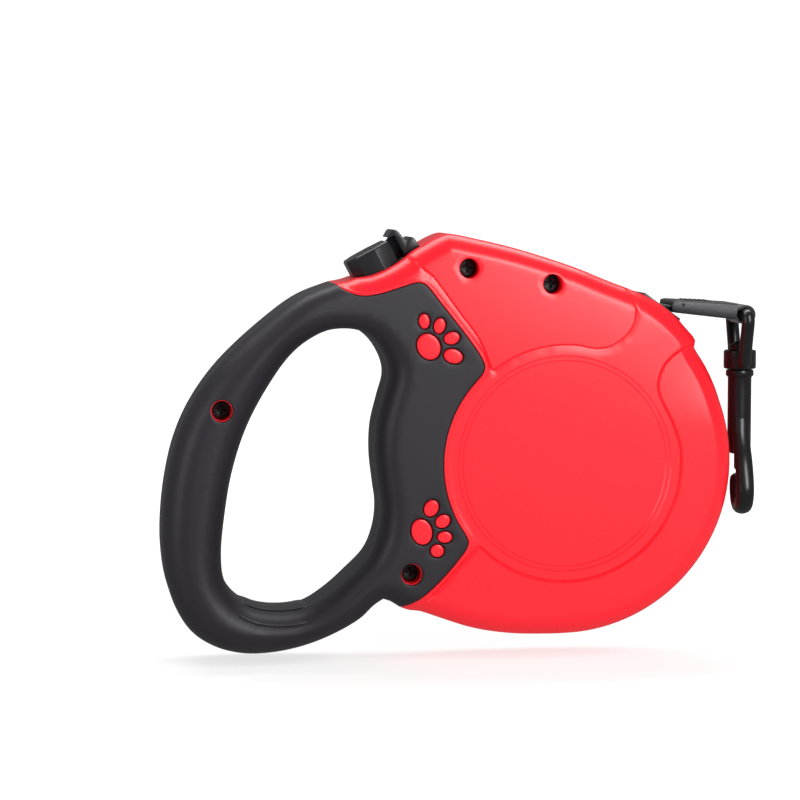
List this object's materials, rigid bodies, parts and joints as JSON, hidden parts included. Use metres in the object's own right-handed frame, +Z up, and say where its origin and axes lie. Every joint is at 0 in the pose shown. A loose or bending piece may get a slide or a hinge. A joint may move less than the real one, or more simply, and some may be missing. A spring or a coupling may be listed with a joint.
{
  "type": "retractable leash",
  "caption": "Hand-held retractable tape leash: red drum case with soft loop handle, thumb brake and lock, spring reel, tape stopper and swivel bolt snap.",
  "frame": {"origin": "middle of the hand grip, on the parting plane", "axes": "+X from the grip to the tape mouth and hook, +Y from the near side to the far side along the reel axis, +Z up"},
  "size_m": [0.1842, 0.0346, 0.1275],
  "materials": {
    "red_plastic": "satin moulded",
    "soft_grip": "matte soft touch",
    "black_plastic": "satin moulded",
    "inner_plastic": "plain moulded",
    "steel": "zinc plated",
    "spring_steel": "oiled spring steel",
    "tape_nylon": "woven webbing",
    "black_metal": "gloss black"
  },
  "bodies": {
    "housing": {"near_shell": "red_plastic", "far_shell": "red_plastic", "near_grip": "soft_grip", "far_grip": "soft_grip", "handle_inlay": "soft_grip", "tape_nozzle": "black_plastic", "tape_run": "tape_nylon", "case_screw_1": "steel", "case_screw_2": "steel", "case_screw_3": "steel", "case_screw_4": "steel", "axle_pin": "steel", "spring_arbor": "inner_plastic", "button_spring": "spring_steel"},
    "reel": {"reel_drum": "inner_plastic", "reel_flange": "inner_plastic", "spring_cover": "inner_plastic", "power_spring": "spring_steel", "tape_roll": "tape_nylon", "tape_anchor_pin": "steel"},
    "tape_end": {"tape_lead": "tape_nylon", "stopper_cover": "black_plastic", "stopper_body": "black_plastic"},
    "eye": {"swivel_eye": "black_metal"},
    "hook": {"swivel_rivet": "black_metal", "hook_body": "black_metal", "bolt_spring": "spring_steel"},
    "bolt": {"snap_bolt": "black_metal", "bolt_knob": "black_metal"},
    "brake": {"brake_button": "black_plastic", "brake_pawl": "inner_plastic"},
    "lock": {"lock_slider": "black_plastic"}
  },
  "joints": [
    {"name": "reel_spin", "type": "hinge", "parent": "housing", "child": "reel", "pos_m": [0.11, 0, -0.005], "axis": [0, 1, 0], "range_deg": [0, 7860], "stiffness_Nm_per_rad": 0.001, "springref_deg": -3953.41},
    {"name": "tape_pull", "type": "slide", "parent": "housing", "child": "tape_end", "axis": [0.9936, 0, -0.1132], "range_m": [0, 4.802]},
    {"name": "eye_swing", "type": "hinge", "parent": "tape_end", "child": "eye", "pos_m": [0.168, 0, 0.0392], "axis": [0, 1, 0], "range_deg": [-100, 0]},
    {"name": "hook_swivel", "type": "hinge", "parent": "eye", "child": "hook", "pos_m": [0.168, 0, 0], "axis": [0, 0, 1], "range_deg": [-8, 188]},
    {"name": "bolt_slide", "type": "slide", "parent": "hook", "child": "bolt", "axis": [0, 0, 1], "range_m": [0, 0.008], "stiffness_N_per_m": 150, "springref_m": -0.004, "deforming": ["bolt_spring"]},
    {"name": "brake_press", "type": "slide", "parent": "housing", "child": "brake", "axis": [0.4695, 0, -0.8829], "range_m": [0, 0.0042], "stiffness_N_per_m": 800, "springref_m": -0.003, "deforming": ["button_spring"]},
    {"name": "lock_slide", "type": "slide", "parent": "housing", "child": "lock", "axis": [-0.8829, 0, -0.4695], "range_m": [0, 0.002]}
  ],
  "couplings": [
    {"joint": "tape_pull", "follows": "reel_spin", "m_per_rad": 0.035}
  ]
}
